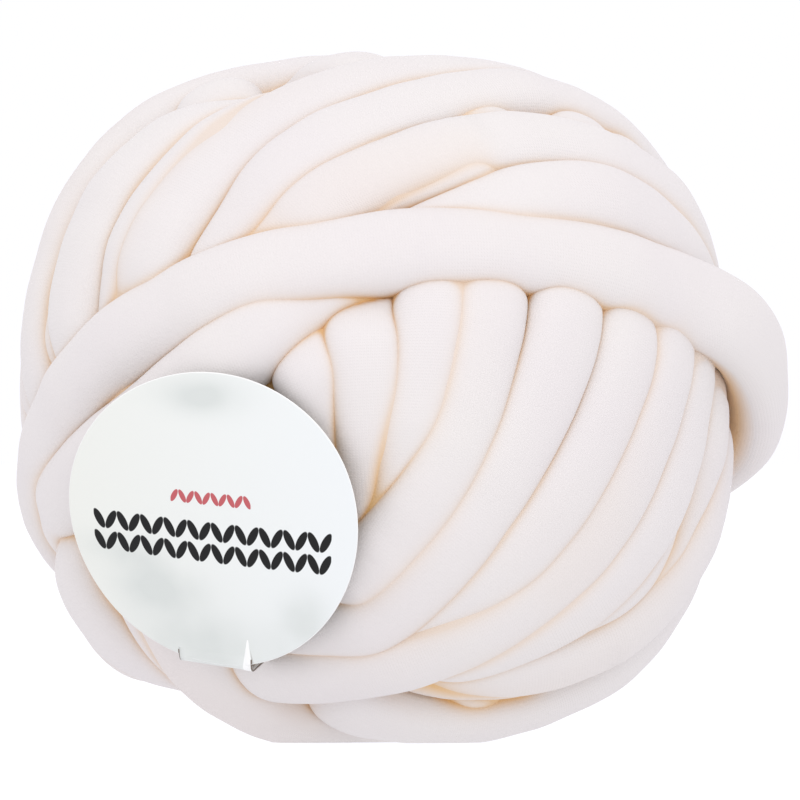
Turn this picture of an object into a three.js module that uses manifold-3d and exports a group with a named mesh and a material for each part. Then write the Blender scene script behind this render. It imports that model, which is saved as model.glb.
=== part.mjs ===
// A ball of thick tube yarn with a round card label.
// Millimetres, +Z up. The label is on the front, which faces -Y.
import * as THREE from "three";
import { mergeVertices } from "three/addons/utils/BufferGeometryUtils.js";
import Module from "manifold-3d";

const wasm = await Module();
wasm.setup();

// Yarn
const STRAND_HALF_WIDTH = 16;
const STRAND_HALF_DEPTH = 12;
const STRAND_ROUNDNESS = 2.3;

// Ball, measured to the middle of a strand. From the front it is a little wider than tall and full at its corners.
const WINDING_RADIUS = 118;
const WIDTH_SHARE = 1.01;
const HEIGHT_SHARE = 0.985;
const FULLNESS = 2.45;
const CORE_RADIUS = 111;
const BALL_CENTRE = new THREE.Vector3(-10.6, -0.5, 125);

// Every wrap of the ball is a loop that passes near the winding pole, the spot that the label covers.
// at: the side of the pole on which it passes, in degrees anticlockwise from the right
// reach: how far from the pole it passes, in degrees
// off: how far its plane is off the middle of the ball, in degrees
// bow: how much it bows out of that plane, in degrees
// loose: how far it stands off on the side where it hangs loose
// rest: how high it lies where nothing presses on it
// The first wrap wound comes first, so a later one lies over an earlier one where they cross.
const POLE = new THREE.Vector3(-0.44, -0.82, -0.37).normalize();
const UNDER_WRAPS = 9;
const UNDER_FIRST = 10;
const UNDER_REACH = 30;
const UNDER_OFF = -10;
const UNDER_DROP = 5;
const TOP_WRAPS = [
  { at: 14.4, reach: 25.5, off: 5 },
  { at: -6.6, reach: 26, off: -3.1, bow: 0.9 },
  { at: -17.3, reach: 35, off: -2.3, bow: -5 },
  { at: -78.3, reach: 15.5, off: 31.7, bow: 4.8 },
  { at: 179, reach: 8.4, off: 30.4 },
  { at: -126, reach: 18, off: 15, bow: -1 },
  { at: -125.8, reach: 18.5, off: 33.4, bow: -0.7 },
  { at: -151.8, reach: 15.9, off: 25.3, bow: 0.8 },
  { at: -121.7, reach: 28.4, off: 2.2, bow: -2 },
  { at: -111.4, reach: 30.1, off: 11.1, bow: 0.1 },
  { at: -76, reach: 33.2, off: 3.9, bow: 1.1 },
  { at: -65.4, reach: 25.9, off: 6.1, bow: 3 },
  { at: -99.4, reach: 30.4, off: 10.8, bow: 1.9 },
  { at: -177.7, reach: 22, off: 6.4, bow: 1.3 },
  { at: 174.5, reach: 15.2, off: 10.8, bow: 1.6 },
  { at: 167, reach: 14, off: 20.6 },
  { at: 124, reach: 32, off: 7.5, bow: -9.7 },
  { at: 120, reach: 37, off: 6, loose: 20 },
];
const LOOSE_SIDE = new THREE.Vector3(1, -0.02, 0.1).normalize();
const LOOSE_SPREAD = 34;

// How the wraps press on each other
const STATIONS = 144;
const SETTLING_ROUNDS = 150;
const CONTACT_WIDTH = 19;
const CROSSING_STEP = 8;
const UPPER_SHARE = 0.12;
const DEEPEST = 16;
const SPRING_BACK = 0.12;
const SIDE_BY_SIDE_ANGLE = 5;
const CROSSING_ANGLE = 25;
const SIDE_BY_SIDE_SHARE = 0.08;

// Facets
const STRAND_SIDES = 9;
const STRAND_STEPS = 32;
const UNDER_STEPS = 20;
const OUTER_SHARE = 0.5;
const CORE_SIDES = 18;
const CORE_RINGS = 9;

// Label: a bent card disc that rests on the ball at its upper right, with a strap folded back at its foot
const LABEL_RADIUS = 55.5;
const LABEL_THICKNESS = 1;
const LABEL_NORMAL = new THREE.Vector3(-0.34, -0.89, -0.3).normalize();
const LABEL_CENTRE = new THREE.Vector3(-59.2, -106.7, -43.4);
const LABEL_BEND_RADIUS = 300;
const LABEL_BEND_WAY = new THREE.Vector2(-0.75, -0.66);
const LABEL_SIDES = 48;
const LABEL_RINGS = 5;
const LABEL_CLEARANCE = 0.4;
const LABEL_TURN = -6;
const STRAP_WIDTH = 29;
const STRAP_LENGTH = 60;
const STRAP_ROOT = 5;
const STRAP_FOLD_RADIUS = 3;

const degrees = THREE.MathUtils.degToRad;
const smooth = THREE.MathUtils.smoothstep;

// The frame of a wrap: nearest points at the pole, along leads on round the ball, normal is square to its plane.
function layWrap({ at, reach, off = 0, bow = 0, loose = 0, rest = 0 }) {
  const up = new THREE.Vector3(0, 0, 1);
  const north = up.addScaledVector(POLE, -up.dot(POLE)).normalize();
  const east = new THREE.Vector3().crossVectors(north, POLE);
  const side = east.clone().multiplyScalar(Math.cos(degrees(at)));
  side.addScaledVector(north, Math.sin(degrees(at)));
  const lean = degrees(reach + off);
  const nearest = POLE.clone().multiplyScalar(Math.cos(lean)).addScaledVector(side, Math.sin(lean));
  const normal = POLE.clone().multiplyScalar(Math.sin(lean)).addScaledVector(side, -Math.cos(lean));
  const along = new THREE.Vector3().crossVectors(normal, nearest);
  const heights = new Float64Array(STATIONS).fill(rest);
  return { nearest, along, normal, off: degrees(off), bow: degrees(bow), loose, rest, heights };
}

function latitude(wrap, turn) {
  return wrap.off - wrap.bow * Math.cos(2 * turn);
}

function direction(wrap, turn, sideways = 0) {
  const lift = latitude(wrap, turn) + sideways;
  return new THREE.Vector3()
    .addScaledVector(wrap.nearest, Math.cos(lift) * Math.cos(turn))
    .addScaledVector(wrap.along, Math.cos(lift) * Math.sin(turn))
    .addScaledVector(wrap.normal, Math.sin(lift));
}

function heading(wrap, turn) {
  const step = 0.01;
  return direction(wrap, turn + step).sub(direction(wrap, turn - step)).normalize();
}

function heightAt(wrap, turn) {
  const place = THREE.MathUtils.euclideanModulo((turn / (2 * Math.PI)) * STATIONS, STATIONS);
  const first = Math.floor(place);
  const share = place - first;
  return wrap.heights[first % STATIONS] * (1 - share) + wrap.heights[(first + 1) % STATIONS] * share;
}

// Where one wrap comes near another: the turn on the other wrap and how much the two press on each other.
function findContacts(wraps) {
  const contacts = [];
  wraps.forEach((wrap, order) => {
    for (let station = 0; station < STATIONS; station += 1) {
      const turn = (station / STATIONS) * 2 * Math.PI;
      const point = direction(wrap, turn);
      wraps.forEach((other, otherOrder) => {
        if (other === wrap) return;
        const otherTurn = Math.atan2(point.dot(other.along), point.dot(other.nearest));
        const apart = Math.asin(point.dot(other.normal)) - latitude(other, otherTurn);
        const nearness = 1 - ((apart * WINDING_RADIUS) / CONTACT_WIDTH) ** 4;
        if (nearness <= 0) return;
        const parallel = Math.abs(heading(wrap, turn).dot(heading(other, otherTurn)));
        const angle = THREE.MathUtils.radToDeg(Math.acos(Math.min(1, parallel)));
        const crossing = smooth(angle, SIDE_BY_SIDE_ANGLE, CROSSING_ANGLE);
        const press = nearness * (SIDE_BY_SIDE_SHARE + (1 - SIDE_BY_SIDE_SHARE) * crossing);
        contacts.push({ wrap, station, other, otherTurn, step: CROSSING_STEP * press, over: order > otherOrder });
      });
    }
  });
  return contacts;
}

// Lets each wrap sink under the ones that cross over it, until all of them lie snug.
function settle(wraps) {
  const contacts = findContacts(wraps);
  const looseEnd = Math.cos(degrees(LOOSE_SPREAD));
  for (let round = 0; round < SETTLING_ROUNDS; round += 1) {
    const pushes = new Map(wraps.map((wrap) => [wrap, new Float64Array(STATIONS)]));
    const sinks = new Map(wraps.map((wrap) => [wrap, new Float64Array(STATIONS)]));
    for (const { wrap, station, other, otherTurn, step, over } of contacts) {
      const apart = wrap.heights[station] - heightAt(other, otherTurn);
      const change = over ? pushes.get(wrap) : sinks.get(wrap);
      change[station] = Math.max(change[station], over ? step - apart : step + apart);
    }
    for (const wrap of wraps) {
      const pressed = wrap.heights.map((height, station) => {
        const push = UPPER_SHARE * pushes.get(wrap)[station];
        return height + push - (1 - UPPER_SHARE) * sinks.get(wrap)[station];
      });
      wrap.heights = evenOut(pressed).map((height, station) => {
        const slack = direction(wrap, (station / STATIONS) * 2 * Math.PI).dot(LOOSE_SIDE);
        const free = wrap.rest + wrap.loose * smooth(slack, looseEnd, 1);
        const kept = Math.max(height, -DEEPEST);
        return kept + SPRING_BACK * (free - kept);
      });
    }
  }
}

function evenOut(heights) {
  const last = heights.length - 1;
  return heights.map((height, i) => {
    const before = heights[i === 0 ? last : i - 1];
    const after = heights[i === last ? 0 : i + 1];
    return (before + 2 * height + after) / 4;
  });
}

// Moves a direction out to a height on the ball, which is fuller than a sphere at its corners.
function onBall(way, radius) {
  const wide = Math.abs(way.x / WIDTH_SHARE) ** FULLNESS;
  const tall = Math.abs(way.z / HEIGHT_SHARE) ** FULLNESS;
  return way.multiplyScalar(radius / Math.hypot((wide + tall) ** (1 / FULLNESS), way.y));
}

function solidOf(geometry) {
  const bare = geometry.clone();
  bare.deleteAttribute("normal");
  bare.deleteAttribute("uv");
  const merged = mergeVertices(bare, 1e-3);
  const vertProperties = merged.attributes.position.array;
  const triVerts = new Uint32Array(merged.index.array);
  return new wasm.Manifold(new wasm.Mesh({ numProp: 3, vertProperties, triVerts }));
}

// One wrap as a ring of yarn, laid along its loop. More of its facets are on the outer side than underneath.
function wrapSolid(wrap, steps) {
  const ringRadius = 3;
  const ring = new THREE.TorusGeometry(ringRadius, 1, STRAND_SIDES, steps);
  const places = ring.attributes.position;
  const spot = new THREE.Vector3();
  const squarer = (value) => Math.sign(value) * Math.abs(value) ** (2 / STRAND_ROUNDNESS);
  for (let i = 0; i < places.count; i += 1) {
    spot.fromBufferAttribute(places, i);
    const turn = Math.atan2(spot.y, spot.x);
    const even = Math.atan2(spot.z, Math.hypot(spot.x, spot.y) - ringRadius);
    const around = even - OUTER_SHARE * Math.sin(even);
    const radius = WINDING_RADIUS + heightAt(wrap, turn) + STRAND_HALF_DEPTH * squarer(Math.cos(around));
    const sideways = (STRAND_HALF_WIDTH * squarer(Math.sin(around))) / (WINDING_RADIUS + heightAt(wrap, turn));
    const point = onBall(direction(wrap, turn, sideways), radius);
    places.setXYZ(i, point.x, point.y, point.z);
  }
  return solidOf(ring);
}

function largestBody(solid) {
  return solid.decompose().sort((a, b) => b.volume() - a.volume())[0];
}

function coreSolid() {
  const core = new THREE.SphereGeometry(1, CORE_SIDES, CORE_RINGS);
  const places = core.attributes.position;
  const spot = new THREE.Vector3();
  for (let i = 0; i < places.count; i += 1) {
    onBall(spot.fromBufferAttribute(places, i), CORE_RADIUS);
    places.setXYZ(i, spot.x, spot.y, spot.z);
  }
  return solidOf(core);
}

function ballSolid() {
  const under = Array.from({ length: UNDER_WRAPS }, (_, i) => {
    const at = UNDER_FIRST + (i * 360) / UNDER_WRAPS;
    return { at, reach: UNDER_REACH, off: UNDER_OFF, rest: -UNDER_DROP };
  });
  const wraps = [...under, ...TOP_WRAPS].map(layWrap);
  settle(wraps);
  let ball = coreSolid();
  wraps.forEach((wrap, order) => {
    ball = ball.add(wrapSolid(wrap, order < UNDER_WRAPS ? UNDER_STEPS : STRAND_STEPS));
  });
  ball = ball.translate(BALL_CENTRE.toArray());
  const size = 4 * WINDING_RADIUS;
  const floor = new THREE.BoxGeometry(size, size, size).translate(0, 0, -size / 2);
  return largestBody(ball.subtract(solidOf(floor)));
}

// The label lies in its own x and y, with its face towards +z, until it is bent and set on the ball.
function labelSolid(ball) {
  const profile = [];
  for (let i = 0; i <= LABEL_RINGS; i += 1) {
    profile.push(new THREE.Vector2((LABEL_RADIUS * i) / LABEL_RINGS, -LABEL_THICKNESS));
  }
  for (let i = LABEL_RINGS; i >= 0; i -= 1) {
    profile.push(new THREE.Vector2((LABEL_RADIUS * i) / LABEL_RINGS, 0));
  }
  const disc = new THREE.LatheGeometry(profile, LABEL_SIDES).rotateX(Math.PI / 2);

  const inner = STRAP_FOLD_RADIUS - LABEL_THICKNESS;
  const foot = -LABEL_RADIUS + STRAP_FOLD_RADIUS / 2;
  const strip = new THREE.Shape();
  strip.moveTo(0, foot + STRAP_ROOT);
  strip.lineTo(0, foot);
  strip.absarc(-STRAP_FOLD_RADIUS, foot, STRAP_FOLD_RADIUS, 0, -Math.PI / 2, true);
  strip.lineTo(-STRAP_LENGTH, foot - STRAP_FOLD_RADIUS);
  strip.lineTo(-STRAP_LENGTH, foot - inner);
  strip.lineTo(-STRAP_FOLD_RADIUS, foot - inner);
  strip.absarc(-STRAP_FOLD_RADIUS, foot, inner, -Math.PI / 2, 0, false);
  strip.lineTo(-LABEL_THICKNESS, foot + STRAP_ROOT);
  const strap = new THREE.ExtrudeGeometry(strip, { depth: STRAP_WIDTH, bevelEnabled: false, curveSegments: 4 });
  strap.translate(0, 0, -STRAP_WIDTH / 2).rotateY(-Math.PI / 2).rotateZ(degrees(LABEL_TURN));

  const card = solidOf(disc).add(solidOf(strap));
  const bent = card.warp((point) => {
    const downhill = point[0] * LABEL_BEND_WAY.x + point[1] * LABEL_BEND_WAY.y;
    point[2] -= downhill ** 2 / (2 * LABEL_BEND_RADIUS);
  });
  const across = new THREE.Vector3(0, 0, 1).cross(LABEL_NORMAL).normalize();
  const upward = new THREE.Vector3().crossVectors(LABEL_NORMAL, across);
  const place = new THREE.Matrix4().makeBasis(across, upward, LABEL_NORMAL);
  place.setPosition(LABEL_CENTRE.clone().add(BALL_CENTRE));
  let fitted = bent.transform(place.toArray());
  for (const way of [across, upward, LABEL_NORMAL]) {
    for (const reach of [-LABEL_CLEARANCE, LABEL_CLEARANCE]) {
      fitted = fitted.subtract(ball.translate(way.clone().multiplyScalar(reach).toArray()));
    }
  }
  return largestBody(fitted);
}

function meshOf(name, solid, material) {
  const { vertProperties, triVerts } = solid.getMesh();
  const geometry = new THREE.BufferGeometry();
  geometry.setAttribute("position", new THREE.BufferAttribute(vertProperties, 3));
  geometry.setIndex(new THREE.BufferAttribute(triVerts, 1));
  geometry.computeVertexNormals();
  const mesh = new THREE.Mesh(geometry, new THREE.MeshStandardMaterial(material));
  mesh.name = name;
  return mesh;
}

const ball = ballSolid();
const label = labelSolid(ball);

const group = new THREE.Group();
group.add(meshOf("yarn_ball", ball, { color: "#efe9e8", roughness: 0.95, metalness: 0 }));
group.add(meshOf("label", label, { color: "#e9ece8", roughness: 0.25, metalness: 0 }));
export default group;
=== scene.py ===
"""Dresses a wound ball of thick tube yarn, with a round glossy card label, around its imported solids."""

import math

import bpy
import numpy as np
from bpy.props import FloatProperty, FloatVectorProperty, PointerProperty
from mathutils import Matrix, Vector


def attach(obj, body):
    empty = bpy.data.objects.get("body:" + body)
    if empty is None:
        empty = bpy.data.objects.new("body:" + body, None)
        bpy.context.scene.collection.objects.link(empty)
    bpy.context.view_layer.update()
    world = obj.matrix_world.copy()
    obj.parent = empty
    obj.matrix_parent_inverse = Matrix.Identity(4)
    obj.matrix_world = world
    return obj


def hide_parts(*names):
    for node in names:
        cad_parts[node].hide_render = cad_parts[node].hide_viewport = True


bl_info = {
    "name": "Tube Yarn Ball",
    "version": (1, 0, 0),
    "blender": (4, 5, 0),
    "location": "3D View > Sidebar > Yarn Ball",
    "description": "Winds a ball of thick tube yarn and tucks a round card label into it",
    "category": "Add Mesh",
}

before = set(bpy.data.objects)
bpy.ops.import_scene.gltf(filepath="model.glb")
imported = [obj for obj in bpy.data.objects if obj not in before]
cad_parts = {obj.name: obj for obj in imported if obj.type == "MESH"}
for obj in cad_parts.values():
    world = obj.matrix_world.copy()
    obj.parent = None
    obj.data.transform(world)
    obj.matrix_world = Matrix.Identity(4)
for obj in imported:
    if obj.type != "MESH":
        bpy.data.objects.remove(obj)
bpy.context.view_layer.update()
BODY = "root"
UP = np.array((0.0, 0.0, 1.0))


def unit(vector):
    """A vector, or each one along the last axis, brought to a length of 1."""
    return np.asarray(vector) / np.linalg.norm(vector, axis=-1, keepdims=True)


# Winding, in metres and degrees, with the sizes that the ball's solid is made from
BALL_CENTRE = np.array((-0.0106, -0.0005, 0.125))
WIDTH_SHARE = 1.01
HEIGHT_SHARE = 0.985
FULLNESS = 2.45
FLOOR_GAP = 0.0003
STRAND_ROUNDNESS = 2.3
POLE = unit((-0.44, -0.82, -0.37))
UNDER_WRAPS = 9
UNDER_FIRST = 10
UNDER_REACH = 30
UNDER_OFF = -10
UNDER_DROP = 0.005
# Wraps that show, the first one wound first: the side of the pole that each passes on, how near it comes to
# the pole, how far off the ball's middle it lies, how much it bows, and how far it hangs loose
TOP_WRAPS = (
    (14.4, 25.5, 5, 0, 0),
    (-6.6, 26, -3.1, 0.9, 0),
    (-17.3, 35, -2.3, -5, 0),
    (-78.3, 15.5, 31.7, 4.8, 0),
    (179, 8.4, 30.4, 0, 0),
    (-126, 18, 15, -1, 0),
    (-125.8, 18.5, 33.4, -0.7, 0),
    (-151.8, 15.9, 25.3, 0.8, 0),
    (-121.7, 28.4, 2.2, -2, 0),
    (-111.4, 30.1, 11.1, 0.1, 0),
    (-76, 33.2, 3.9, 1.1, 0),
    (-65.4, 25.9, 6.1, 3, 0),
    (-99.4, 30.4, 10.8, 1.9, 0),
    (-150, 42, -4, 0, 0),
    (-177.7, 22, 6.4, 1.3, 0),
    (174.5, 15.2, 10.8, 1.6, 0),
    (168.5, 14, 20.6, 0, 0),
    (124, 32, 6.5, -9.7, 0),
    (120, 37, 6, 0, 0.020),
)
# Where a loose strand hangs out, and how far round that place
LOOSE_SIDE = unit((1, -0.02, 0.1))
LOOSE_SPREAD = 34

# How the wraps press on each other
STATIONS = 144
SETTLING_ROUNDS = 150
CONTACT_WIDTH = 0.019
CONTACT_SHARPNESS = 4
CROSSING_STEP = 0.008
UPPER_SHARE = 0.12
DEEPEST = 0.016
SPRING_BACK = 0.12
SIDE_BY_SIDE_ANGLE = 5
CROSSING_ANGLE = 25
SIDE_BY_SIDE_SHARE = 0.3

# Mesh of a strand: rings along it, and points round each ring on its outer and its inner half
TOP_RINGS = 540
UNDER_RINGS = 180
OUTER_POINTS = 31
INNER_POINTS = 5
# Fine samples of a wrap's height along it and of its section round it
HEIGHT_SAMPLES = 1440
SECTION_SAMPLES = 721

# Where a ring's outer points go: closer at a crease, which is where the strand is level with another one
LOOK_POINTS = 61
PROUDEST = 0.008
EVENING_PASSES = 8
HIDDEN_DEPTH = -0.003
HIDDEN_DENSITY = 0.3
CREASE_PULL = 5.0
CREASE_REACH = 0.0015

# Creases: the depths over which they deepen, and over which a sunken strand takes on full painted shade, how
# weak shallow grooves and the painted shade of shallow creases are, and the painted glow of bounced light
# beside them
CREASE_DEPTHS = (0.001, 0.011)
GAP_SHADE_DEPTHS = (0.010, 0.017)
SHALLOW_GROOVE = 0.35
SHALLOW_CREASE_SHADE = 0.35
PAINTED_GLOW = 0.18
PAINTED_GLOW_SPREAD = 3.5

# Strips that the baking map of a strand is cut into, and the room beside each
BAKE_STRIPS = 3
BAKE_MARGIN = 0.012

# Unevenness of the stuffed tube: how many waves, their lengths along it, and how far they lean round it
WAVES = 7
LONGEST_WAVE = 0.16
SHORTEST_WAVE = 0.018
WAVE_LEAN = 1.5

# Wound inside of the ball: steps from top to bottom, the pole of its strands, their closeness and grooves,
# and the painted shade between them, with the least of it anywhere
CORE_STEPS = 128
CORE_POLE = unit((0.5, -0.3, 0.8))
CORE_CLOSENESS = 1.1
CORE_GROOVE = 0.004
CORE_CREASE_SHADE = 1.2
CORE_SHADE = 0.3

# Look of the knit: the lean of its stitches, and how strongly stitches, patches, fuzz and the painted crease
# shade show
STITCH_LEAN = 0.9
STITCH_SOFTNESS = 0.4
STITCH_TONE = 0.06
KNIT_RELIEF = 0.0002
PATCH_SCALE = 14.0
PATCH_LEVEL = 0.35
PATCH_CONTRAST = 2.2
FUZZ_SCALE = 900.0
FUZZ_SHARE = 0.6
CREASE_SHADE_FALL = 1.3
CREASE_SHADE_TONE = 0.75

# Label, with the sizes of its solid
LABEL_NORMAL = unit((-0.34, -0.89, -0.3))
LABEL_CENTRE = np.array((-0.0592, -0.1067, -0.0434))
LABEL_BEND_RADIUS = 0.300
LABEL_BEND_WAY = (-0.75, -0.66)
LABEL_TURN = -6
STRAP_FOLD_RADIUS = 0.003
STRAP_BACK = 0.034

# Mesh of the label, and where the strap leaves the card: how far above its fold, and out from the face
LABEL_SEGMENTS = 360
LABEL_CIRCLES = 44
RIM_STEPS = 4
STRAP_COLUMNS = 13
STRAP_STEPS = 8
STRAP_ROOT = ((0.006, -0.0003), (0.003, 0.00002), (0.001, 0.00005))

# Buckles of the card: share of the height, waves across and up in radii, phase, and 1 if they grow to the rim
BUCKLES = ((0.5, 3.1, 1.9, 0.6, 0), (0.35, 5.3, -3.7, 2.0, 1))

# Pleat at the foot of the card, in radii: apex, foot, place to the side, and half the width at both ends
PLEAT_APEX = -0.79
PLEAT_FOOT = -1.02
PLEAT_SIDE = 0.24
PLEAT_HALF_WIDTHS = (0.006, 0.040)

# Painted highlight and shadow of the pleat, and painted shade of the two nicks, in metres: the pleat's apex,
# length, place to the side, and half the width at both ends
PAINTED_APEX = -0.0438
PAINTED_LENGTH = 0.0115
PAINTED_SIDE = 0.0133
PAINTED_HALF_WIDTHS = (0.0002, 0.0021)
FOLD_SHADE = 0.35
NICK_TOP = -0.0515
NICKS_PER_METRE = 3200.0

# Soft clouds of painted reflection on the card: the middle of each, its reach across and up, and its strength
REFLECTION_CLOUDS = (
    (-0.004, 0.047, 0.014, 0.007, 0.9),
    (-0.033, -0.015, 0.016, 0.006, 0.8),
    (-0.020, -0.027, 0.017, 0.010, 1.0),
    (0.036, -0.034, 0.009, 0.010, 0.9),
    (-0.002, -0.050, 0.032, 0.012, 0.9),
)
# How strongly the clouds of painted reflection show, the drift that breaks them up, the grain,
# and how fast warm turns to cool
REFLECTION_TONE = 0.8
CLOUD_LEVEL = 0.7
CLOUD_CONTRAST = 3.4
DRIFT_SCALE = 26.0
GRAIN_SCALE = 420.0
SIDE_TO_SIDE = 9.0

# Print: half the width and length of a leaf, its lean, and how far its middle is from the middle of a stitch
LEAF_REACH = (0.0016, 0.0042)
LEAF_LEAN = 27
LEAF_ASIDE = 0.0023
# Band of stitches: width of a stitch, height of a row, half the length, lower and upper edge, size of a leaf
INK_BAND = (0.0092, 0.0082, 0.0460, -0.0164, 0.0, 1.0)
ACCENT_BAND = (0.0062, 0.0056, 0.0155, 0.0056, 0.0112, 0.66)
# How sharp the edges of a leaf and of a band are
LEAF_EDGE = 6.0
BAND_EDGE = 4000.0

# Lamps: where they are, and the power of the one above as a share of the key's
KEY_PLACE = Vector((0.15, -2.5, 1.0))
TOP_PLACE = Vector((0.0, -0.9, 2.2))
TOP_SHARE = 0.75

# The picture's frame: what it covers and where it looks
PICTURE_WIDTH = 0.2924
PICTURE_MIDDLE = Vector((-0.00165, 0.0, 0.1252))
CAMERA_DISTANCE = 7.0
SENSOR_WIDTH = 36.0


def smooth(value, low, high):
    """Rises from 0 at low to 1 at high, level at both ends."""
    share = np.clip((value - low) / (high - low), 0, 1)
    return share * share * (3 - 2 * share)


def eased(values, axis):
    """Evens values out a little along an axis that closes on itself."""
    return (np.roll(values, 1, axis) + 2 * values + np.roll(values, -1, axis)) / 4


class Winding:
    """Every wrap of the ball as a bowed loop round it, with the height of its middle line at each station."""

    def __init__(self, wraps, yarn):
        self.radius = yarn.winding_radius
        self.half_width = yarn.half_width
        self.half_depth = yarn.half_depth
        at, reach, off, bow, self.loose = np.array(wraps, float).T
        at, reach, off, bow = (np.radians(angle) for angle in (at, reach, off, bow))
        north = unit(UP - POLE * POLE[2])
        east = np.cross(north, POLE)
        side = np.outer(np.cos(at), east) + np.outer(np.sin(at), north)
        lean = (reach + off)[:, None]
        self.nearest = np.cos(lean) * POLE + np.sin(lean) * side
        self.normal = np.sin(lean) * POLE - np.cos(lean) * side
        self.along = np.cross(self.normal, self.nearest)
        self.off = off
        self.bow = bow
        self.count = len(wraps)
        self.rest = np.where(np.arange(self.count) < UNDER_WRAPS, -UNDER_DROP, 0.0)[:, None]
        spectrum = np.fft.rfft(self.settled())
        self.fine = np.fft.irfft(spectrum, HEIGHT_SAMPLES) * (HEIGHT_SAMPLES / STATIONS)

    def latitude(self, wrap, turn):
        return self.off[wrap] - self.bow[wrap] * np.cos(2 * turn)

    def direction(self, wrap, turn, sideways=0.0):
        lift = self.latitude(wrap, turn) + sideways
        flat = np.cos(turn)[..., None] * self.nearest[wrap] + np.sin(turn)[..., None] * self.along[wrap]
        return np.cos(lift)[..., None] * flat + np.sin(lift)[..., None] * self.normal[wrap]

    def heading(self, wrap, turn):
        step = 0.01
        return unit(self.direction(wrap, turn + step) - self.direction(wrap, turn - step))

    def beside(self, wrap, ways):
        """The turn on a wrap that each direction is nearest to, and how far it is to the side, in radians."""
        turn = np.arctan2(ways @ self.along[wrap], ways @ self.nearest[wrap])
        return turn, np.arcsin(np.clip(ways @ self.normal[wrap], -1, 1)) - self.latitude(wrap, turn)

    def height(self, wrap, turn):
        place = (turn / (2 * math.pi)) % 1 * HEIGHT_SAMPLES
        first = np.floor(place).astype(int)
        share = place - first
        fine = self.fine[wrap]
        return fine[first % HEIGHT_SAMPLES] * (1 - share) + fine[(first + 1) % HEIGHT_SAMPLES] * share

    def crown(self, wrap, ways):
        """How far out the top side of a wrap is in each direction, or 0 where the wrap isn't there."""
        turn, apart = self.beside(wrap, ways)
        middle = self.radius + self.height(wrap, turn)
        share = np.abs(apart) * middle / self.half_width
        arch = np.clip(1 - share**STRAND_ROUNDNESS, 0, None) ** (1 / STRAND_ROUNDNESS)
        return np.where(share < 1, middle + self.half_depth * arch, 0)

    def crown_of_others(self, wrap, ways):
        """How far out the highest of the other wraps is in each direction."""
        highest = np.zeros(ways.shape[:-1])
        for other in range(self.count):
            if other != wrap:
                highest = np.maximum(highest, self.crown(other, ways))
        return highest

    def settled(self):
        """Heights of the wraps once each has sunk under the ones that cross over it and all lie snug."""
        turns = np.arange(STATIONS) * 2 * math.pi / STATIONS
        place = np.zeros((self.count, self.count, STATIONS))
        step = np.zeros_like(place)
        for wrap in range(self.count):
            ways = self.direction(wrap, turns)
            own = self.heading(wrap, turns)
            for other in range(self.count):
                if other == wrap:
                    continue
                turn, apart = self.beside(other, ways)
                place[wrap, other] = (turn / (2 * math.pi)) % 1 * STATIONS
                nearness = np.clip(1 - (apart * self.radius / CONTACT_WIDTH) ** CONTACT_SHARPNESS, 0, None)
                parallel = np.abs((own * self.heading(other, turn)).sum(-1))
                angle = np.degrees(np.arccos(np.clip(parallel, 0, 1)))
                crossing = smooth(angle, SIDE_BY_SIDE_ANGLE, CROSSING_ANGLE)
                press = SIDE_BY_SIDE_SHARE + (1 - SIDE_BY_SIDE_SHARE) * crossing
                step[wrap, other] = CROSSING_STEP * nearness * press
        first = np.floor(place).astype(int) % STATIONS
        share = place - np.floor(place)
        order = np.arange(self.count)
        touching = step > 0
        over = touching & (order[:, None] > order[None, :])[:, :, None]
        under = touching & ~over
        slack = np.stack([self.direction(wrap, turns) @ LOOSE_SIDE for wrap in order])
        free = self.rest + self.loose[:, None] * smooth(slack, math.cos(math.radians(LOOSE_SPREAD)), 1)
        other = order[None, :, None]
        heights = np.zeros((self.count, STATIONS)) + self.rest
        for _ in range(SETTLING_ROUNDS):
            beside = heights[other, first] * (1 - share) + heights[other, (first + 1) % STATIONS] * share
            apart = heights[:, None, :] - beside
            pushes = np.where(over, np.clip(step - apart, 0, None), 0).max(1)
            sinks = np.where(under, np.clip(step + apart, 0, None), 0).max(1)
            heights = heights + UPPER_SHARE * pushes - (1 - UPPER_SHARE) * sinks
            heights = eased(heights, 1)
            heights = np.maximum(heights, -DEEPEST)
            heights = heights + SPRING_BACK * (free - heights)
        return heights


def on_ball(ways, radius):
    """Moves directions out to a height on the ball, which is fuller than a sphere at its corners."""
    wide = np.abs(ways[..., 0] / WIDTH_SHARE) ** FULLNESS
    tall = np.abs(ways[..., 2] / HEIGHT_SHARE) ** FULLNESS
    reach = radius / np.hypot((wide + tall) ** (1 / FULLNESS), ways[..., 1])
    points = ways * reach[..., None] + BALL_CENTRE
    points[..., 2] = np.maximum(points[..., 2], FLOOR_GAP)
    return points


def squarer(value):
    """Turns a circle's sine or cosine into that of the strand's fuller section."""
    return np.sign(value) * np.abs(value) ** (2 / STRAND_ROUNDNESS)


def mesh_object(name, points, faces, material):
    mesh = bpy.data.meshes.new(name)
    mesh.from_pydata(points.reshape(-1, 3).tolist(), [], faces)
    mesh.polygons.foreach_set("use_smooth", np.ones(len(mesh.polygons), bool))
    mesh.update()
    piece = bpy.data.objects.new(name, mesh)
    bpy.context.scene.collection.objects.link(piece)
    mesh.materials.append(material)
    return piece


def point_values(piece, name, values):
    layer = piece.data.attributes.new(name, "FLOAT", "POINT")
    layer.data.foreach_set("value", np.ascontiguousarray(values.ravel(), np.float32))


def add_uv(piece, name, corners):
    layer = piece.data.uv_layers.new(name=name)
    layer.data.foreach_set("uv", np.ascontiguousarray(corners.ravel(), np.float32))


def corner_points(piece):
    """The number of the point at each corner of every face."""
    loops = piece.data.loops
    numbers = np.zeros(len(loops), np.int32)
    loops.foreach_get("vertex_index", numbers)
    return numbers


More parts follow.
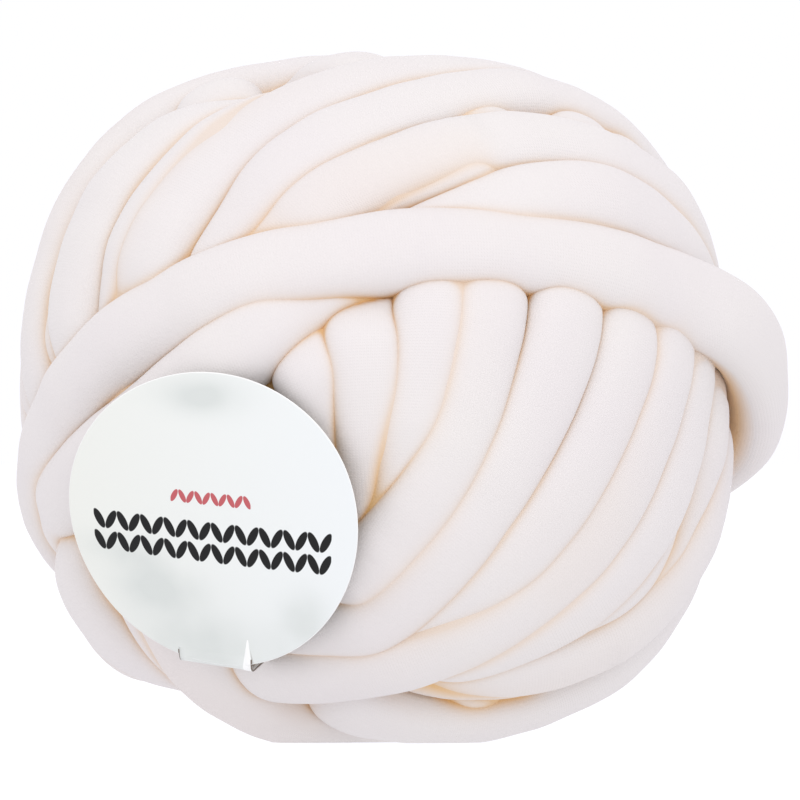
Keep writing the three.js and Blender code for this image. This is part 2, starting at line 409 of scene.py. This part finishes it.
def grid_faces(rings, columns, spans):
    """Faces between rings of points, from each ring to the next one, for as many spans as are given."""
    ring, column = np.meshgrid(np.arange(spans), np.arange(columns), indexing="ij")
    corners = [(ring, column), (ring + 1, column), (ring + 1, column + 1), (ring, column + 1)]
    numbers = [r % rings * columns + c % columns for r, c in corners]
    return np.stack(numbers, axis=-1).reshape(-1, 4).tolist()


def evened(values):
    """Evens values out along a wrap, from each ring to the next."""
    for _ in range(EVENING_PASSES):
        values = eased(values, 0)
    return values


def section_angles(winding, wrap, turns):
    """Angles of each ring's outer points, closer at every crease, and how proud of other wraps each is."""
    look = np.linspace(-math.pi / 2, math.pi / 2, LOOK_POINTS)
    middle = winding.radius + winding.height(wrap, turns)[:, None]
    sideways = winding.half_width * squarer(np.sin(look)) / middle
    ways = winding.direction(wrap, np.broadcast_to(turns[:, None], sideways.shape), sideways)
    proud = middle + winding.half_depth * squarer(np.cos(look)) - winding.crown_of_others(wrap, ways)
    proud = evened(np.clip(proud, -PROUDEST, PROUDEST))
    density = np.where(proud > HIDDEN_DEPTH, 1, HIDDEN_DENSITY)
    density = evened(density + CREASE_PULL * np.exp(-((proud / CREASE_REACH) ** 2)))
    total = np.cumsum((density[:, 1:] + density[:, :-1]) / 2, axis=1)
    total = np.concatenate([np.zeros((len(turns), 1)), total], axis=1)
    share = np.linspace(0, 1, OUTER_POINTS)
    angles = np.stack([np.interp(share * row[-1], row, look) for row in total])
    return angles, np.stack([np.interp(at, look, row) for at, row in zip(angles, proud)])


def waviness(seed, turns, angles, yarn):
    """Small rises and dents of the stuffed tube, along and round it, that close on themselves."""
    draw = np.random.default_rng(seed)
    length = 2 * math.pi * yarn.winding_radius
    rise = np.zeros_like(angles)
    for size in np.geomspace(LONGEST_WAVE, SHORTEST_WAVE, WAVES):
        count = round(length / size)
        phase, lean = draw.uniform(0, 2 * math.pi), draw.uniform(-WAVE_LEAN, WAVE_LEAN)
        rise += size * np.sin(count * turns[:, None] + lean * np.sin(angles) + phase)
    return yarn.unevenness * rise / LONGEST_WAVE


def knit_map(winding, angles):
    """Metres along and round the strand at the four corners of each face, which the knit follows."""
    table = np.linspace(-math.pi / 2, 3 * math.pi / 2, SECTION_SAMPLES)
    across = winding.half_width * squarer(np.sin(table))
    out = winding.half_depth * squarer(np.cos(table))
    lengths = np.concatenate([[0], np.cumsum(np.hypot(np.diff(across), np.diff(out)))])
    round_it = np.interp(angles, table, lengths)
    round_next = np.roll(round_it, -1, 1)
    round_next[:, -1] = lengths[-1]
    far, far_next = np.roll(round_it, -1, 0), np.roll(round_next, -1, 0)
    step = 2 * math.pi * winding.radius / len(angles)
    along = np.broadcast_to(np.arange(len(angles))[:, None] * step, angles.shape)
    corners = [(along, round_it), (along + step, far), (along + step, far_next), (along, round_next)]
    return np.stack([np.stack(corner, axis=-1) for corner in corners], axis=2)


def bake_map(rings, columns):
    """A place of its own for every face: the wrap is cut into strips that lie one above the other."""
    ring, column = np.meshgrid(np.arange(rings), np.arange(columns), indexing="ij")
    strip_rings = math.ceil(rings / BAKE_STRIPS)
    strip, place = ring // strip_rings, ring % strip_rings
    room = 1 - 2 * BAKE_MARGIN
    corners = []
    for ring_step, column_step in ((0, 0), (1, 0), (1, 1), (0, 1)):
        across = BAKE_MARGIN + room * (place + ring_step) / strip_rings
        up = (strip + BAKE_MARGIN + room * (column + column_step) / columns) / BAKE_STRIPS
        corners.append(np.stack([across, up], axis=-1))
    return np.stack(corners, axis=2)


def wind_wrap(name, winding, wrap, rings, yarn, material):
    """One wrap of the ball: a closed ring of stuffed tube, with a soft groove where it meets another."""
    turns = np.arange(rings) * 2 * math.pi / rings
    columns = OUTER_POINTS + INNER_POINTS
    outer, proud = section_angles(winding, wrap, turns)
    inner = np.linspace(math.pi / 2, 3 * math.pi / 2, INNER_POINTS + 2)[1:-1]
    angles = np.concatenate([outer, np.broadcast_to(inner, (rings, INNER_POINTS))], axis=1)
    middle = winding.radius + winding.height(wrap, turns)[:, None]
    sideways = winding.half_width * squarer(np.sin(angles)) / middle
    radius = middle + winding.half_depth * squarer(np.cos(angles))
    ways = winding.direction(wrap, np.broadcast_to(turns[:, None], angles.shape), sideways)

    on_top = np.arange(columns) < OUTER_POINTS
    shown = np.zeros_like(angles)
    shown[:, :OUTER_POINTS] = np.clip(proud, 0, None)
    depth = winding.radius + winding.half_depth - radius
    deep = smooth(depth, *CREASE_DEPTHS)
    softness = SHALLOW_GROOVE + (1 - SHALLOW_GROOVE) * deep
    groove = yarn.groove_depth * softness * np.exp(-shown / yarn.groove_width)
    swell = waviness(wrap, turns, angles, yarn)
    points = on_ball(ways, radius + np.where(on_top, swell - groove, 0))
    piece = mesh_object(name, points, grid_faces(rings, columns, rings), material)

    # Painted shade: warm tan along each crease, stronger where it is deep, with a fainter painted glow beside
    # it, and full on sunken parts and on the hidden inner half
    line = np.exp(-shown / yarn.crease_shade_width) + PAINTED_GLOW * np.exp(-shown / (PAINTED_GLOW_SPREAD * yarn.crease_shade_width))
    crease_shade = (SHALLOW_CREASE_SHADE + (1 - SHALLOW_CREASE_SHADE) * deep) * line
    crease_shade = np.maximum(crease_shade, smooth(depth, *GAP_SHADE_DEPTHS))
    point_values(piece, "crease_shade", np.where(on_top, crease_shade, 1))
    add_uv(piece, "Knit", knit_map(winding, angles))
    add_uv(piece, "OFBake", bake_map(rings, columns))
    piece.data.uv_layers["OFBake"].active_render = True
    return piece


class Value:
    """Wraps a shader socket that holds a number, so that arithmetic on it adds Math nodes."""

    def __init__(self, finish, socket):
        self.finish = finish
        self.socket = socket

    def math(self, operation, *others):
        sockets = dict(enumerate((self, *others)))
        return self.finish.add("ShaderNodeMath", {"operation": operation}, sockets)

    def __add__(self, other):
        return self.math("ADD", other)

    __radd__ = __add__

    def __sub__(self, other):
        return self.math("SUBTRACT", other)

    def __rsub__(self, other):
        return self.math("MULTIPLY_ADD", -1.0, other)

    def __mul__(self, other):
        return self.math("MULTIPLY", other)

    __rmul__ = __mul__

    def __truediv__(self, other):
        return self.math("DIVIDE", other)

    def __pow__(self, other):
        return self.math("POWER", other)

    def __abs__(self):
        return self.math("ABSOLUTE")

    def fract(self):
        return self.math("FRACT")

    def clamp(self):
        return self.math("MAXIMUM", 0.0).math("MINIMUM", 1.0)

    def ramp(self, steepness):
        """Rises from 0, where the value is 0, to 1."""
        return (self * steepness).clamp()


class Finish:
    """A node material that is built up by calls."""

    def __init__(self, name):
        self.material = bpy.data.materials.new(name)
        self.material.use_nodes = True
        self.tree = self.material.node_tree
        self.tree.nodes.clear()

    def add(self, kind, settings=None, sockets=None, output=0):
        node = self.tree.nodes.new(kind)
        for name, value in (settings or {}).items():
            setattr(node, name, value)
        for name, value in (sockets or {}).items():
            if isinstance(value, Value):
                self.tree.links.new(value.socket, node.inputs[name])
            else:
                node.inputs[name].default_value = value
        return Value(self, node.outputs[output])

    def mix(self, share, first, second):
        """Mixes two colours, each a colour or a socket that gives one."""
        settings = {"data_type": "RGBA", "clamp_factor": True}
        return self.add("ShaderNodeMix", settings, {0: share, 6: first, 7: second}, output=2)

    def noise(self, scale, detail):
        sockets = {"Scale": scale, "Detail": detail, "Vector": self.position()}
        return self.add("ShaderNodeTexNoise", {"noise_dimensions": "3D"}, sockets)

    def attribute(self, name):
        return self.add("ShaderNodeAttribute", {"attribute_name": name}, output="Fac")

    def uv(self, name):
        """Both numbers of a UV map, as two values."""
        vector = self.add("ShaderNodeUVMap", {"uv_map": name})
        parts = self.add("ShaderNodeSeparateXYZ", None, {0: vector})
        return parts, Value(self, parts.socket.node.outputs[1])

    def position(self):
        return self.add("ShaderNodeTexCoord", output="Object")

    def surface(self, sockets):
        shader = self.add("ShaderNodeBsdfPrincipled", None, sockets)
        output = self.tree.nodes.new("ShaderNodeOutputMaterial")
        self.tree.links.new(shader.socket, output.inputs["Surface"])
        return self.material


def colour(values):
    return (*values, 1.0)


def yarn_finish(yarn):
    """Matte knitted tube, cream where it shows, with warm tan painted shade down in its creases and gaps."""
    finish = Finish("cream_tube_yarn")
    along, around = finish.uv("Knit")
    crease_shade = finish.attribute("crease_shade")
    column = (around / yarn.stitch_width).fract() - 0.5
    lean = abs(column)
    course = (along / yarn.stitch_length + lean * STITCH_LEAN).fract() - 0.5
    stitch = (0.5 - abs(course)) * 2.0
    stitch = stitch.math("SMOOTH_MIN", (0.5 - lean) * 4.0, STITCH_SOFTNESS)
    patch = finish.noise(PATCH_SCALE, 2.0)
    fuzz = finish.noise(FUZZ_SCALE, 3.0)
    tone = finish.mix((patch - PATCH_LEVEL) * PATCH_CONTRAST, colour(yarn.cool_colour), colour(yarn.colour))
    tone = finish.mix(stitch * STITCH_TONE, tone, colour(yarn.stitch_shade))
    # Painted shade: the warm tan of shade and bounced light in the creases and gaps
    tone = finish.mix((crease_shade**CREASE_SHADE_FALL) * CREASE_SHADE_TONE, tone, colour(yarn.crease_shade_colour))
    relief = stitch + fuzz * FUZZ_SHARE
    bump = finish.add("ShaderNodeBump", None, {"Strength": 0.35, "Distance": KNIT_RELIEF, "Height": relief})
    return finish.surface(
        {
            "Base Color": tone,
            "Roughness": 0.92,
            "Specular IOR Level": 0.15,
            "Sheen Weight": 0.18,
            "Sheen Roughness": 0.5,
            "Sheen Tint": colour((1.0, 0.96, 0.96)),
            "Normal": bump,
        }
    )


def core_piece(yarn, material):
    """The wound inside of the ball, as far as it shows between the wraps."""
    columns = 2 * CORE_STEPS
    turn = np.arange(columns) * math.pi / CORE_STEPS
    tilt = (np.arange(CORE_STEPS) + 0.5) * math.pi / CORE_STEPS
    tilt, turn = np.meshgrid(tilt, turn, indexing="ij")
    ways = np.stack([np.sin(tilt) * np.cos(turn), np.sin(tilt) * np.sin(turn), np.cos(tilt)], axis=-1)
    off_middle = np.arcsin(ways @ CORE_POLE) * yarn.core_radius
    strands = np.abs(np.sin(off_middle / yarn.half_width * CORE_CLOSENESS))
    points = on_ball(ways, yarn.core_radius - CORE_GROOVE * (1 - np.sqrt(strands)))
    faces = grid_faces(CORE_STEPS, columns, CORE_STEPS - 1)
    faces.append(list(range(columns)))
    faces.append(list(range(CORE_STEPS * columns - 1, (CORE_STEPS - 1) * columns - 1, -1)))
    piece = mesh_object("yarn_core", points, faces, material)
    # Painted shade: warm tan between the core's strands, and some of it all over the deep inside
    point_values(piece, "crease_shade", np.clip(CORE_CREASE_SHADE - strands, CORE_SHADE, 1))
    flat = unit(points.reshape(-1, 3) - BALL_CENTRE)
    around = np.stack([np.arctan2(flat[:, 1], flat[:, 0]), np.arcsin(flat[:, 2])], axis=-1) * yarn.core_radius
    add_uv(piece, "Knit", around[corner_points(piece)])
    return piece


def label_point(flat, height):
    """Sets a point of the flat label, which has its middle at 0, on the ball: bent, turned and moved."""
    across = unit(np.cross(UP, LABEL_NORMAL))
    upward = np.cross(LABEL_NORMAL, across)
    downhill = flat[..., 0] * LABEL_BEND_WAY[0] + flat[..., 1] * LABEL_BEND_WAY[1]
    rise = height - downhill**2 / (2 * LABEL_BEND_RADIUS)
    place = flat[..., 0, None] * across + flat[..., 1, None] * upward + rise[..., None] * LABEL_NORMAL
    return place + LABEL_CENTRE + BALL_CENTRE


def turned(flat, angle):
    across = (math.cos(angle), -math.sin(angle))
    up = (math.sin(angle), math.cos(angle))
    return np.stack([flat @ across, flat @ up], axis=-1)


def ripple(flat, card):
    """How far the card stands off its smooth bend: soft buckles and one pleat at the foot."""
    x, y = flat[..., 0] / card.radius, flat[..., 1] / card.radius
    buckle = np.zeros_like(x)
    for share, across, up, phase, growth in BUCKLES:
        buckle += share * np.sin(across * x + up * y + phase) * (x**2 + y**2) ** growth
    down = np.clip((PLEAT_APEX - y) / (PLEAT_APEX - PLEAT_FOOT), 0, 1)
    at_apex, at_foot = PLEAT_HALF_WIDTHS
    beside = np.abs(x - PLEAT_SIDE) / (at_apex + (at_foot - at_apex) * down)
    pleat = np.clip(1 - beside, 0, 1) * down
    return card.buckle * buckle + card.pleat * pleat


def disc_mesh(card):
    """The round card as a profile turned round its middle: face, cut rim and back."""
    rim = card.thickness / 2
    face = [(card.radius - rim) * math.sqrt(k / LABEL_CIRCLES) for k in range(1, LABEL_CIRCLES + 1)]
    turn = [math.pi / 2 - math.pi * k / RIM_STEPS for k in range(1, RIM_STEPS)]
    profile = [(radius, 0.0, 0.0) for radius in face]
    profile += [(card.radius - rim + rim * math.cos(t), rim * math.sin(t) - rim, 1.0) for t in turn]
    profile += [(radius, -card.thickness, 0.0) for radius in reversed(face)]
    radius, height, edge = np.array(profile).T
    angle = np.arange(LABEL_SEGMENTS) * 2 * math.pi / LABEL_SEGMENTS
    flat = np.stack([np.outer(radius, np.cos(angle)), np.outer(radius, np.sin(angle))], axis=-1)
    flat = np.concatenate([np.zeros((2, 2)), flat.reshape(-1, 2)])
    height = np.concatenate([[0.0, -card.thickness], np.repeat(height, LABEL_SEGMENTS)])
    edge = np.concatenate([[0.0, 0.0], np.repeat(edge, LABEL_SEGMENTS)])
    faces = []
    first, last = 2, 2 + (len(profile) - 1) * LABEL_SEGMENTS
    for c in range(LABEL_SEGMENTS):
        n = (c + 1) % LABEL_SEGMENTS
        faces.append((0, first + c, first + n))
        faces.append((1, last + n, last + c))
        for row in range(first, last, LABEL_SEGMENTS):
            below = row + LABEL_SEGMENTS
            faces.append((row + c, below + c, below + n, row + n))
    return flat, height, edge, faces


def strap_mesh(card):
    """The strap at the foot: level with the face at its root, then folded back into the yarn."""
    half = card.strap_width / 2
    foot = -card.radius + STRAP_FOLD_RADIUS / 2
    path = [(foot + above, out, 0.0) for above, out in STRAP_ROOT]
    for k in range(STRAP_STEPS + 1):
        bend = math.pi / 2 * k / STRAP_STEPS
        down, back = math.sin(bend), 1 - math.cos(bend)
        path.append((foot - STRAP_FOLD_RADIUS * down, -STRAP_FOLD_RADIUS * back, bend))
    for k in range(1, STRAP_STEPS + 1):
        back = STRAP_BACK * k / STRAP_STEPS
        path.append((foot - STRAP_FOLD_RADIUS, -STRAP_FOLD_RADIUS - back, math.pi / 2))
    across = np.linspace(-half, half, STRAP_COLUMNS)
    flats, heights = [], []
    for inset in (0.0, card.thickness):
        for y, z, bend in path:
            level = np.full_like(across, y + inset * math.sin(bend))
            flats.append(np.stack([across, level], axis=-1))
            heights.append(np.full_like(across, z - inset * math.cos(bend)))
    flat, height = np.stack(flats), np.stack(heights)
    rows, columns = len(path), STRAP_COLUMNS
    under = rows * columns
    faces = []

    def add_face(corners, flipped):
        faces.append(tuple(reversed(corners)) if flipped else corners)

    for row in range(rows - 1):
        for c in range(columns - 1):
            k, below = row * columns + c, (row + 1) * columns + c
            add_face((k, below, below + 1, k + 1), False)
            add_face((under + k, under + below, under + below + 1, under + k + 1), True)
        for c, flipped in ((0, False), (columns - 1, True)):
            k, below = row * columns + c, (row + 1) * columns + c
            add_face((k, under + k, under + below, below), flipped)
    for row, flipped in ((0, True), (rows - 1, False)):
        for k in range(row * columns, (row + 1) * columns - 1):
            add_face((k, under + k, under + k + 1, k + 1), flipped)
    return flat.reshape(-1, 2), height.ravel(), np.zeros(height.size), faces


def label_finish(card):
    """Pearly coated card with soft grey clouds of painted reflection, a white cut rim and a printed band of
    knit stitches, with a painted highlight and painted shade at the pleat and the two nicks.
    """
    finish = Finish("pearl_card")
    x, y = finish.uv("Face")
    edge = finish.attribute("edge")

    # Painted reflection: soft grey clouds that stand in for what the glossy card reflects
    def reflection_cloud(middle_x, middle_y, reach_x, reach_y, strength):
        far = ((x - middle_x) / reach_x) ** 2.0 + ((y - middle_y) / reach_y) ** 2.0
        return (far * -1.0).math("EXPONENT") * strength

    reflections = reflection_cloud(*REFLECTION_CLOUDS[0])
    for settings in REFLECTION_CLOUDS[1:]:
        reflections = reflections + reflection_cloud(*settings)
    drift = finish.noise(DRIFT_SCALE, 3.0)
    reflections = (reflections * (drift * CLOUD_CONTRAST - CLOUD_LEVEL)).clamp()
    tone = finish.mix((x * SIDE_TO_SIDE + 0.5).clamp(), colour(card.warm_colour), colour(card.cool_colour))
    tone = finish.mix(reflections * REFLECTION_TONE, tone, colour(card.reflection_colour))

    def stitches(pitch, row, half_length, low, high, scale):
        """A knitted band: every stitch is two slanted leaves that form a V."""
        leaf_x, leaf_y = (reach * scale for reach in LEAF_REACH)
        lean = math.radians(LEAF_LEAN)
        aside = abs(((x / pitch).fract() - 0.5) * pitch) - LEAF_ASIDE * scale
        level = ((y / row).fract() - 0.5) * row
        thick = aside * math.cos(lean) - level * math.sin(lean)
        long = aside * math.sin(lean) + level * math.cos(lean)
        leaf = (1.0 - (thick / leaf_x) ** 2.0 - (long / leaf_y) ** 2.0).ramp(LEAF_EDGE)
        inside = (half_length - abs(x)).ramp(BAND_EDGE)
        return leaf * inside * (y - low).ramp(BAND_EDGE) * (high - y).ramp(BAND_EDGE)

    ink = stitches(*INK_BAND)
    accent = stitches(*ACCENT_BAND)
    printed = ink.math("MAXIMUM", accent)
    tone = finish.mix(accent, tone, colour(card.accent))
    tone = finish.mix(ink, tone, colour(card.ink))

    # Painted highlight on the pleat's face, painted shadow in its fold, and painted shade in the two nicks at
    # the strap
    at_apex, at_foot = PAINTED_HALF_WIDTHS
    down = ((PAINTED_APEX - y) / PAINTED_LENGTH).clamp()
    from_pleat = (x - PAINTED_SIDE) / (down * (at_foot - at_apex) + at_apex)
    lit = (1.0 - abs(from_pleat + 0.2)).ramp(5.0) * (down - 0.02).ramp(40.0)
    fold_shadow = (1.0 - abs(from_pleat - 1.0) * 4.0).ramp(3.0) * (down - 0.3).ramp(3.0)
    from_nick = abs(abs(x) - card.strap_width / 2)
    nick_shade = (1.0 - from_nick * NICKS_PER_METRE).ramp(3.0) * (NICK_TOP - y).ramp(3000.0)
    tone = finish.mix(lit, tone, colour(card.rim_and_highlight_colour))
    tone = finish.mix((fold_shadow * FOLD_SHADE + nick_shade).clamp(), tone, colour(card.fold_colour))
    tone = finish.mix(edge, tone, colour(card.rim_and_highlight_colour))
    grain = finish.noise(GRAIN_SCALE, 2.0)
    relief = drift + grain * 0.15
    bump = finish.add("ShaderNodeBump", None, {"Strength": 0.12, "Distance": 0.0002, "Height": relief})
    return finish.surface(
        {
            "Base Color": tone,
            "Roughness": 0.24 + drift * 0.12,
            "Specular IOR Level": 0.25,
            "Coat Weight": (1.0 - printed) * 0.3,
            "Coat Roughness": 0.12,
            "Normal": bump,
        }
    )


class YarnSettings(bpy.types.PropertyGroup):
    """The yarn and how tightly it lies."""

    half_width: FloatProperty(
        name="Half width", description="Half the width of the strand", default=0.016, unit="LENGTH"
    )
    half_depth: FloatProperty(
        name="Half depth", description="Half the depth of the strand", default=0.012, unit="LENGTH"
    )
    winding_radius: FloatProperty(
        name="Winding radius",
        description="Ball radius to the middle of a strand",
        default=0.118,
        unit="LENGTH",
    )
    core_radius: FloatProperty(
        name="Core radius", description="Radius of the wound inside", default=0.1085, unit="LENGTH"
    )
    groove_depth: FloatProperty(
        name="Groove depth",
        description="How deep the strands sink at a crease",
        default=0.0016,
        unit="LENGTH",
    )
    groove_width: FloatProperty(
        name="Groove width",
        description="How softly the strands round into a crease",
        default=0.0015,
        unit="LENGTH",
    )
    crease_shade_width: FloatProperty(
        name="Crease width",
        description="How far the warm shade reaches out of a crease",
        default=0.0014,
        unit="LENGTH",
    )
    unevenness: FloatProperty(
        name="Unevenness",
        description="Height of the longest wave of the stuffed tube",
        default=0.0005,
        unit="LENGTH",
    )
    stitch_width: FloatProperty(
        name="Stitch width", description="Width of a knitted stitch", default=0.0012, unit="LENGTH"
    )
    stitch_length: FloatProperty(
        name="Stitch length", description="Length of a stitch", default=0.0010, unit="LENGTH"
    )
    colour: FloatVectorProperty(
        name="Colour", description="Cream of the yarn", default=(0.755, 0.725, 0.700), subtype="COLOR"
    )
    cool_colour: FloatVectorProperty(
        name="Cool colour",
        description="Cooler patches of the yarn",
        default=(0.735, 0.697, 0.688),
        subtype="COLOR",
    )
    stitch_shade: FloatVectorProperty(
        name="Stitch shade",
        description="Tone between the stitches",
        default=(0.70, 0.62, 0.58),
        subtype="COLOR",
    )
    # Painted shade: the warm tan painted down in the creases and gaps
    crease_shade_colour: FloatVectorProperty(
        name="Crease colour",
        description="Warm tan down in the creases",
        default=(0.72, 0.43, 0.15),
        subtype="COLOR",
    )


class LabelSettings(bpy.types.PropertyGroup):
    """The round card label and its print."""

    radius: FloatProperty(name="Radius", description="Radius of the card", default=0.0555, unit="LENGTH")
    thickness: FloatProperty(
        name="Thickness", description="Thickness of the card", default=0.0006, unit="LENGTH"
    )
    strap_width: FloatProperty(
        name="Strap width", description="Width of the folded strap", default=0.029, unit="LENGTH"
    )
    buckle: FloatProperty(
        name="Buckle", description="How far the card buckles", default=0.00045, unit="LENGTH"
    )
    pleat: FloatProperty(
        name="Pleat", description="Height of the pleat at the foot", default=0.0011, unit="LENGTH"
    )
    warm_colour: FloatVectorProperty(
        name="Warm side",
        description="Card colour on the left",
        default=(0.770, 0.780, 0.725),
        subtype="COLOR",
    )
    cool_colour: FloatVectorProperty(
        name="Cool side",
        description="Card colour on the right",
        default=(0.775, 0.800, 0.795),
        subtype="COLOR",
    )
    # Painted reflection: the grey of the clouds on the card
    reflection_colour: FloatVectorProperty(
        name="Clouds", description="Grey of the soft clouds", default=(0.60, 0.63, 0.60), subtype="COLOR"
    )
    # Own white of the cut rim, also painted as the highlight on the pleat
    rim_and_highlight_colour: FloatVectorProperty(
        name="Cut rim", description="Colour of the cut rim", default=(0.90, 0.90, 0.88), subtype="COLOR"
    )
    fold_colour: FloatVectorProperty(
        name="Folds",
        description="Shade in the fold and the two nicks at the foot",
        default=(0.16, 0.12, 0.09),
        subtype="COLOR",
    )
    ink: FloatVectorProperty(
        name="Ink", description="Dark ink of the print", default=(0.006, 0.006, 0.006), subtype="COLOR"
    )
    accent: FloatVectorProperty(
        name="Accent", description="Dusty red of the print", default=(0.50, 0.11, 0.12), subtype="COLOR"
    )


class StageSettings(bpy.types.PropertyGroup):
    """Floor and lights."""

    floor_size: FloatProperty(name="Floor", description="Width of the floor", default=60.0, unit="LENGTH")
    floor_colour: FloatVectorProperty(
        name="Floor colour",
        description="What the lit table reflects",
        default=(0.10, 0.10, 0.10),
        subtype="COLOR",
    )
    floor_glow: FloatProperty(name="Floor glow", description="Light that the lit table gives", default=0.90)
    sky: FloatProperty(name="Sky", description="Strength of the even white light", default=1.0)
    light_colour: FloatVectorProperty(
        name="Light colour",
        description="Cool white of the sky and the table",
        default=(1.0, 1.0, 1.05),
        subtype="COLOR",
    )
    key_colour: FloatVectorProperty(
        name="Key colour", description="Warm white of the lamps", default=(1.0, 0.98, 0.94), subtype="COLOR"
    )
    key_power: FloatProperty(
        name="Key light", description="Power of the large soft light", default=10.0, unit="POWER"
    )
    key_size: FloatProperty(
        name="Key size", description="Width of the large soft light", default=1.6, unit="LENGTH"
    )


def finished(piece, slot, *nodes):
    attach(piece, BODY)
    if nodes:
        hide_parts(*nodes)
    return piece


class YARN_OT_wind_ball(bpy.types.Operator):
    """Winds the wraps of the ball, the deep ones first"""

    bl_idname = "yarn.wind_ball"
    bl_label = "Wind the ball"

    def execute(self, context):
        yarn = context.scene.yarn_settings
        turn = 360 / UNDER_WRAPS
        under = [(UNDER_FIRST + k * turn, UNDER_REACH, UNDER_OFF, 0, 0) for k in range(UNDER_WRAPS)]
        winding = Winding([*under, *TOP_WRAPS], yarn)
        material = yarn_finish(yarn)
        finished(core_piece(yarn, material), "yarn", "yarn_ball")
        for wrap in range(winding.count):
            deep = wrap < UNDER_WRAPS
            name = f"under_wrap_{wrap + 1}" if deep else f"wrap_{wrap + 1 - UNDER_WRAPS}"
            rings = UNDER_RINGS if deep else TOP_RINGS
            finished(wind_wrap(name, winding, wrap, rings, yarn, material), "yarn", "yarn_ball")
        return {"FINISHED"}


class YARN_OT_add_label(bpy.types.Operator):
    """Sets the round card label on the front, with its strap folded back"""

    bl_idname = "yarn.add_label"
    bl_label = "Add the label"

    def execute(self, context):
        card = context.scene.label_settings
        material = label_finish(card)
        flats, heights, edges, faces = [], [], [], []
        start = 0
        for flat, height, edge, shell in (disc_mesh(card), strap_mesh(card)):
            flats.append(flat)
            heights.append(height)
            edges.append(edge)
            faces += [tuple(start + k for k in corners) for corners in shell]
            start += len(flat)
        flat = np.concatenate(flats)
        height = np.concatenate(heights) + ripple(flat, card)
        points = label_point(turned(flat, math.radians(LABEL_TURN)), height)
        piece = mesh_object("card_label", points, faces, material)
        point_values(piece, "edge", np.concatenate(edges))
        add_uv(piece, "Face", flat[corner_points(piece)])
        finished(piece, "label_card", "label")
        return {"FINISHED"}


class YARN_OT_set_stage(bpy.types.Operator):
    """Lays the lit table and sets the soft lights and the camera"""

    bl_idname = "yarn.set_stage"
    bl_label = "Set the stage"

    def execute(self, context):
        stage = context.scene.stage_settings
        half = stage.floor_size / 2
        corners = np.array([(-half, -half, 0.0), (half, -half, 0.0), (half, half, 0.0), (-half, half, 0.0)])
        finish = Finish("pale_floor")
        material = finish.surface(
            {
                "Base Color": colour(stage.floor_colour),
                "Roughness": 0.9,
                "Emission Color": colour(stage.light_colour),
                "Emission Strength": stage.floor_glow,
            }
        )
        mesh_object("floor", corners, [(0, 1, 2, 3)], material)

        world = bpy.data.worlds.new("white_room")
        world.use_nodes = True
        background = world.node_tree.nodes["Background"]
        background.inputs["Color"].default_value = colour(stage.light_colour)
        background.inputs["Strength"].default_value = stage.sky
        context.scene.world = world
        context.scene.view_settings.view_transform = "Standard"

        for name, place, share in (("key", KEY_PLACE, 1), ("top", TOP_PLACE, TOP_SHARE)):
            light = bpy.data.lights.new(name, "AREA")
            light.energy = stage.key_power * share
            light.color = stage.key_colour
            light.size = stage.key_size
            lamp = bpy.data.objects.new(name, light)
            lamp.location = place
            lamp.rotation_euler = (PICTURE_MIDDLE - place).to_track_quat("-Z", "Y").to_euler()
            context.scene.collection.objects.link(lamp)

        camera = bpy.data.cameras.new("camera")
        camera.sensor_width = SENSOR_WIDTH
        camera.lens = SENSOR_WIDTH * CAMERA_DISTANCE / PICTURE_WIDTH
        holder = bpy.data.objects.new("camera", camera)
        holder.location = PICTURE_MIDDLE + Vector((0, -CAMERA_DISTANCE, 0))
        holder.rotation_euler = (math.pi / 2, 0, 0)
        context.scene.collection.objects.link(holder)
        context.scene.camera = holder
        return {"FINISHED"}


class YARN_PT_panel(bpy.types.Panel):
    """Lists the sizes and the steps"""

    bl_label = "Yarn Ball"
    bl_idname = "YARN_PT_panel"
    bl_space_type = "VIEW_3D"
    bl_region_type = "UI"
    bl_category = "Yarn Ball"

    def draw(self, context):
        for settings in SETTINGS:
            group = getattr(context.scene, settings)
            for name in group.bl_rna.properties.keys():
                if name not in ("rna_type", "name"):
                    self.layout.prop(group, name)
        for operator in OPERATORS:
            self.layout.operator(operator.bl_idname)


OPERATORS = (YARN_OT_wind_ball, YARN_OT_add_label, YARN_OT_set_stage)
SETTINGS = {"yarn_settings": YarnSettings, "label_settings": LabelSettings, "stage_settings": StageSettings}


def register():
    for group in (*SETTINGS.values(), *OPERATORS, YARN_PT_panel):
        bpy.utils.register_class(group)
    for name, group in SETTINGS.items():
        setattr(bpy.types.Scene, name, PointerProperty(type=group))


def unregister():
    for name in SETTINGS:
        delattr(bpy.types.Scene, name)
    for group in reversed((*SETTINGS.values(), *OPERATORS, YARN_PT_panel)):
        bpy.utils.unregister_class(group)


def main():
    register()
    bpy.ops.yarn.wind_ball()
    bpy.ops.yarn.add_label()
    bpy.ops.yarn.set_stage()


if __name__ == "__main__":
    main()
